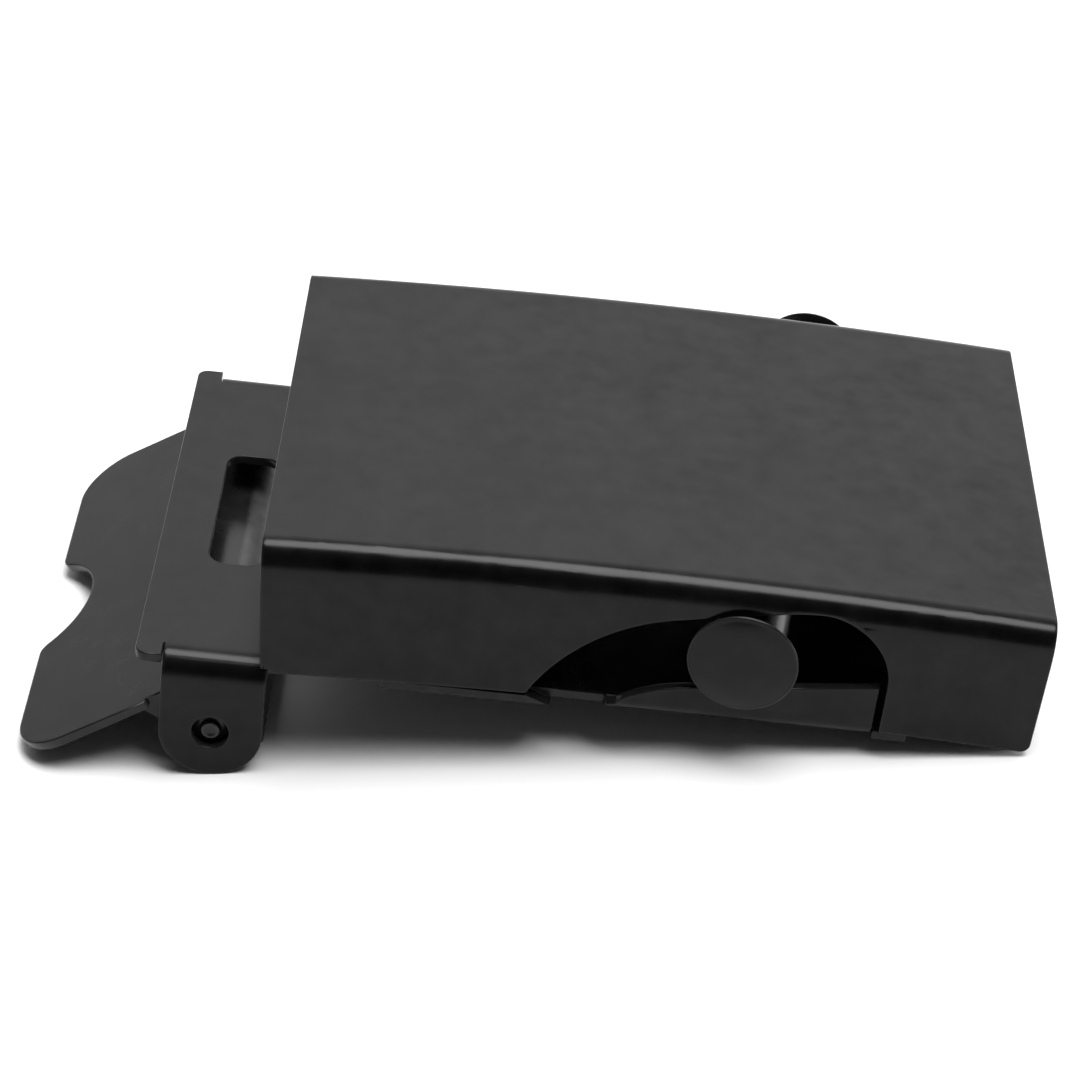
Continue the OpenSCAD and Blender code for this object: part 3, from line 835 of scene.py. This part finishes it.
# %% The pin, staked at both ends
ring_depth, boss_r, boss_edge_r, chamfer = 0.45, 0.65, 0.1, 0.12
ring_floor = half_w - ring_depth
dimple = [(0, half_w - 0.16, 0), (0.25, half_w - 0.14, 0), (0.42, half_w - 0.08, 0)]
boss_foot = [(boss_r + 0.02, ring_floor + 0.08, 0), (boss_r + 0.1, ring_floor, 0)]
half_profile = [
    *dimple,
    *rounded(boss_r - boss_edge_r, half_w - boss_edge_r, boss_edge_r, 90, 0),
    *boss_foot,
    (pin_r - chamfer, ring_floor, 0), (pin_r, ring_floor - chamfer, 0),
]
pin_profile, pin_worn = profile_of(
    [(r, -y, w) for r, y, w in half_profile], [(r, y, w) for r, y, w in half_profile[::-1]])
pin = turned(pin_profile, pin_worn, steps=64)
bend(pin, lambda p: lie_down(p + (pin_x, 0, pin_z)))
finished("clamp_pin_skin", [pin], "frame", "clamp_pin", coat_pin)

# %% [markdown]
# ## The roller
#
# The roller is a bar with a disc knob pressed on each end. It lies askew in the box, its
# near end further left, and because both of its ends rest on sloping tracks, the skew
# also lifts its far end a little. The knobs are slightly domed, so that their faces shade
# from top to bottom, and their backs are dished, so that the rim of a skewed knob clears
# the flange as the roller slides. Their solids are plain discs.

# %% How the roller lies
bar_r, bar_gap, roller_l, roller_x, roller_shift = 2.65, 0.1, 42.5, 35.3, 0.35
skew = math.radians(7.9)
knob_r, knob_t, knob_edge_r, spigot_r, spigot_l = 3.75, 0.95, 0.15, 1.4, 0.6
knob_dome, dome_power, socket_gap = 0.6, 2.0, 0.02
dish_r, dish_rise, back_edge_r = 2.85, 0.14, 0.05
roller_z = track_z(roller_x) + (bar_r + bar_gap) / math.cos(track_slope)
tilt = math.atan(math.tan(track_slope) * math.sin(skew))


def on_roller(p):
    """Turns a piece drawn along y by the tilt about x, then by the skew about z, and moves
    it to the middle of the roller."""
    y = p[:, 1] * math.cos(tilt) - p[:, 2] * math.sin(tilt)
    z = p[:, 1] * math.sin(tilt) + p[:, 2] * math.cos(tilt)
    x = p[:, 0] * math.cos(skew) + y * math.sin(skew)
    y = -p[:, 0] * math.sin(skew) + y * math.cos(skew)
    return lie_down(np.stack([x + roller_x, y + roller_shift, z + roller_z], 1))


# %% Bar
bar_half = roller_l / 2 - knob_t - socket_gap
spigot_chamfer, bar_edge_r, bar_shoulder = 0.1, 0.25, 2
half_bar = [
    (0, bar_half + spigot_l, 0), (spigot_r - spigot_chamfer, bar_half + spigot_l, 0),
    (spigot_r, bar_half + spigot_l - spigot_chamfer, 0), (spigot_r, bar_half, 0),
    (bar_r - 2 * bar_edge_r, bar_half, 0),
    *rounded(bar_r - bar_edge_r, bar_half - bar_edge_r, bar_edge_r, 90, 0),
    (bar_r, bar_half - bar_shoulder, 0), (bar_r, bar_half / 2, 0),
]
bar_profile, bar_worn = profile_of(
    [(r, -y, w) for r, y, w in half_bar], [(bar_r, 0, 0)], [(r, y, w) for r, y, w in half_bar[::-1]])
bar = turned(bar_profile, bar_worn)
bend(bar, on_roller)
finished("roller_bar_skin", [bar], "roller", "roller_bar", coat_bar)

# %% Knobs
face_r = knob_r - knob_edge_r
knob_front, knob_back = roller_l / 2, roller_l / 2 - knob_t
socket_r, socket_end = spigot_r + socket_gap, knob_back + spigot_l + socket_gap
dome_r = np.linspace(0, face_r, 16)
dome_along = knob_front - knob_dome * (dome_r / face_r) ** dome_power
knob_rows = np.stack([dome_r, dome_along, 0 * dome_r], 1).tolist() + [
    *rounded(face_r, knob_front - knob_dome - knob_edge_r, knob_edge_r, 70, 0, 6),
    *rounded(knob_r - back_edge_r, knob_back + dish_rise + back_edge_r, back_edge_r, 0, -90, 3),
    (dish_r, knob_back, 0), (socket_r, knob_back, 0), (socket_r, socket_end, 0), (0, socket_end, 0),
]
knob_profile, knob_worn = profile_of(knob_rows)
for end, sign in (("near", -1), ("far", 1)):
    knob = turned(knob_profile * (1, sign), knob_worn)
    bend(knob, on_roller)
    finished(f"roller_knob_{end}_skin", [knob], "roller", f"roller_knob_{end}",
             coat_knob)

# %% [markdown]
# ## Floor, light and camera
#
# The buckle lies on a flat white floor under one large soft light, which hangs a little
# in front of it and to its right. The room behind the camera is dark: that is why the
# sides stay dark while the top mirrors the pale background.

# %% Floor
floor_half, paper_white, paper_rough = 3, (0.86, 0.86, 0.86, 1), 0.9
floor_corners = [(sx * floor_half, sy * floor_half, 0)
                 for sx, sy in ((-1, -1), (1, -1), (1, 1), (-1, 1))]
floor_mesh = bpy.data.meshes.new("floor")
floor_mesh.from_pydata(floor_corners, [], [(0, 1, 2, 3)])
floor = bpy.data.objects.new("floor", floor_mesh)
bpy.context.scene.collection.objects.link(floor)
paper = bpy.data.materials.new("white_paper")
paper.use_nodes = True
paper_shader = paper.node_tree.nodes["Principled BSDF"]
paper_shader.inputs["Base Color"].default_value = paper_white
paper_shader.inputs["Roughness"].default_value = paper_rough
floor_mesh.materials.append(paper)
print("floor:", 2 * floor_half, "m square")

# %% [markdown]
# The room has no walls. Its brightness in a direction is the product of three factors, one
# for each axis of that direction. It is dark towards the camera and pale behind the buckle,
# about half as bright low down as high up, and brighter on the right than on the left. A
# flat face mirrors only a small patch of the room, so the factors set the tone of each
# face almost by itself.

# %% Room
world = bpy.data.worlds.new("room")
bpy.context.scene.world = world
world.use_nodes = True
tree = world.node_tree
direction = tree.nodes.new("ShaderNodeTexCoord").outputs["Generated"]
split = tree.nodes.new("ShaderNodeSeparateXYZ")
tree.links.new(direction, split.inputs[0])


def ramp_node(value, stops):
    """Greys that run evenly from stop to stop, each stop a position and its grey. A ramp has
    two stops to begin with, and the others are added before all of them are set."""
    ramp = tree.nodes.new("ShaderNodeValToRGB")
    elements = ramp.color_ramp.elements
    for _ in stops[2:]:
        elements.new(0.5)
    for k, (position, grey) in enumerate(stops):
        elements[k].position = position
        elements[k].color = (grey, grey, grey, 1)
    tree.links.new(value, ramp.inputs[0])
    return ramp.outputs[0]


behind = ramp_node(split.outputs["Y"], [(0.1, 0.05), (0.6, 1.0)])
rising = ramp_node(split.outputs["Z"], [
    (0.0, 0.45), (0.3, 0.55), (0.46, 0.45), (0.57, 0.97), (0.8, 1.0)])
left_to_right, middle_level, room_strength = 0.65, 0.89, 2.5
sideways = scaled(tree, split.outputs["X"], left_to_right, middle_level)
level = math_node(tree, "MULTIPLY", math_node(tree, "MULTIPLY", behind, rising), sideways)
tree.links.new(level, tree.nodes["Background"].inputs["Color"])
tree.nodes["Background"].inputs["Strength"].default_value = room_strength
print("room: strength", room_strength)


# %% Light
def soft_light(name, place, aim, width, height, watts):
    """An area light at a place, turned towards a point."""
    data = bpy.data.lights.new(name, "AREA")
    data.shape, data.size, data.size_y, data.energy = "RECTANGLE", width, height, watts
    light = bpy.data.objects.new(name, data)
    bpy.context.scene.collection.objects.link(light)
    look = (Vector(place) - Vector(aim)).to_track_quat("Z", "Y")
    light.matrix_world = Matrix.Translation(place) @ look.to_matrix().to_4x4()
    print(name, "light:", watts, "W from", place)


soft_light("overhead", place=(0.13, -0.09, 0.6), aim=(0.02, 0, 0), width=0.28, height=0.52, watts=5.4)

# %% [markdown]
# The camera was fitted to points on the buckle's outline in the photograph. The photograph
# is 1080 pixels wide, and a focal length counted in its pixels becomes millimetres on a
# 36 mm sensor.

# %% Camera
photo_px, focal_px, sensor_mm, nearest_m = 1080, 3308.2, 36, 0.01
camera_place = (0.013472, -0.199408, 0.136735)
camera = bpy.data.objects.new("camera", bpy.data.cameras.new("camera"))
bpy.context.scene.collection.objects.link(camera)
bpy.context.scene.camera = camera
back = Vector((0.05441, -0.83496, 0.547615)).normalized()
right = Vector((0.998178, 0.031154, -0.051677)).normalized()
camera.matrix_world = (Matrix.Translation(camera_place)
                       @ Matrix((right, back.cross(right), back)).transposed().to_4x4())
camera.data.sensor_width = sensor_mm
camera.data.lens = focal_px / photo_px * sensor_mm
camera.data.clip_start = nearest_m
bpy.context.scene.view_settings.view_transform = "Standard"
print("camera: focal length", round(camera.data.lens, 1), "mm")
